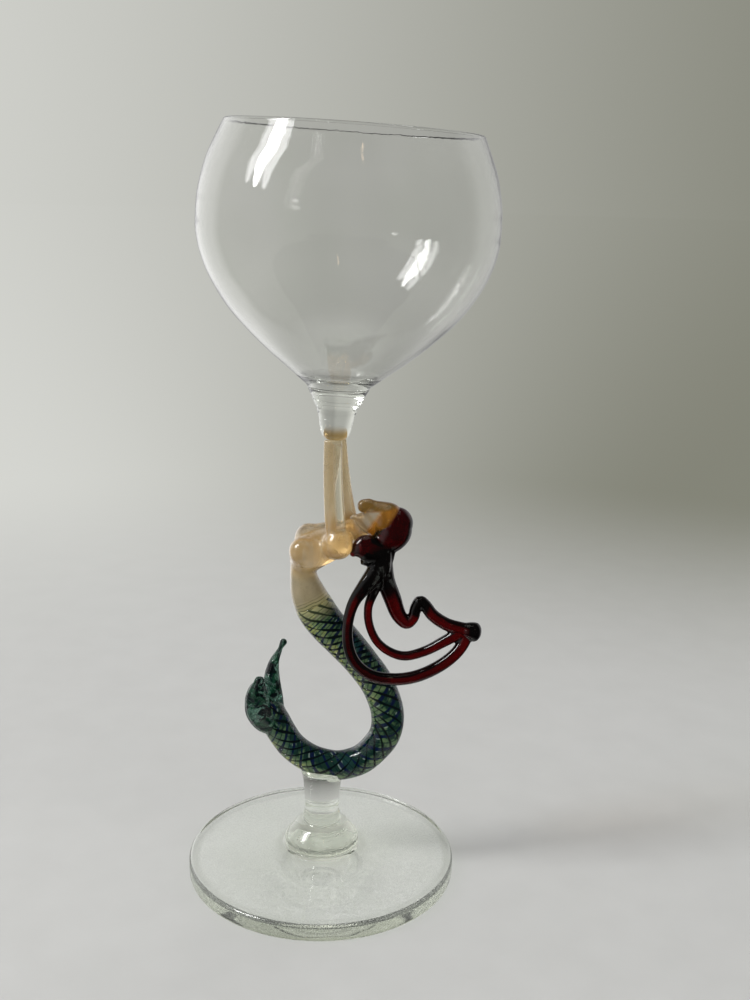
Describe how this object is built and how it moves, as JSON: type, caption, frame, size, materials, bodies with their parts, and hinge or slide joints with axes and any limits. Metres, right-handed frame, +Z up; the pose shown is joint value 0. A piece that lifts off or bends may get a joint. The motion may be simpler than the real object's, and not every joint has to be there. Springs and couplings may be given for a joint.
{
  "type": "wine goblet",
  "caption": "Blown glass balloon wine goblet with a lampworked mermaid as its stem: raised arms hold the bowl and the curled tail stands on a clear post and foot",
  "frame": {"origin": "middle of the foot's flat underside, on the surface that the goblet stands on", "axes": "+Z up, +X to the right of the figure's profile, towards the back of the head and the hair knot, -Y towards the figure's left side, which the picture shows"},
  "size_m": [0.0885, 0.0838, 0.2242],
  "materials": {
    "clear_glass": "clear polished glass with a faint green-grey edge",
    "flesh_glass": "translucent caramel glass, fire polished",
    "torso_glass": "milky beige glass, fire polished",
    "amber_glass": "clear amber glass, fire polished",
    "ruby_glass": "deep ruby glass, nearly black where thick",
    "scale_glass": "yellow-green glass with dark blue crossed threads under clear casing",
    "fin_glass": "streaked dark teal glass"
  },
  "bodies": {
    "root": {"bowl": "clear_glass", "bowl_collar": "clear_glass", "stem_cup": "clear_glass", "post": "clear_glass", "button": "clear_glass", "foot": "clear_glass", "hands": "amber_glass", "head": "amber_glass", "left_arm": "flesh_glass", "right_arm": "flesh_glass", "left_shoulder": "flesh_glass", "right_shoulder": "flesh_glass", "left_breast": "flesh_glass", "right_breast": "flesh_glass", "chest": "flesh_glass", "neck": "flesh_glass", "waist": "torso_glass", "hair_crown": "ruby_glass", "hair_fall": "ruby_glass", "hair_lock": "ruby_glass", "hair_knot": "ruby_glass", "hair_strand_back": "ruby_glass", "hair_strand_front": "ruby_glass", "hair_strand_middle": "ruby_glass", "tail": "scale_glass", "tail_fin_upright": "fin_glass", "tail_fin_round": "fin_glass"}
  },
  "joints": []
}
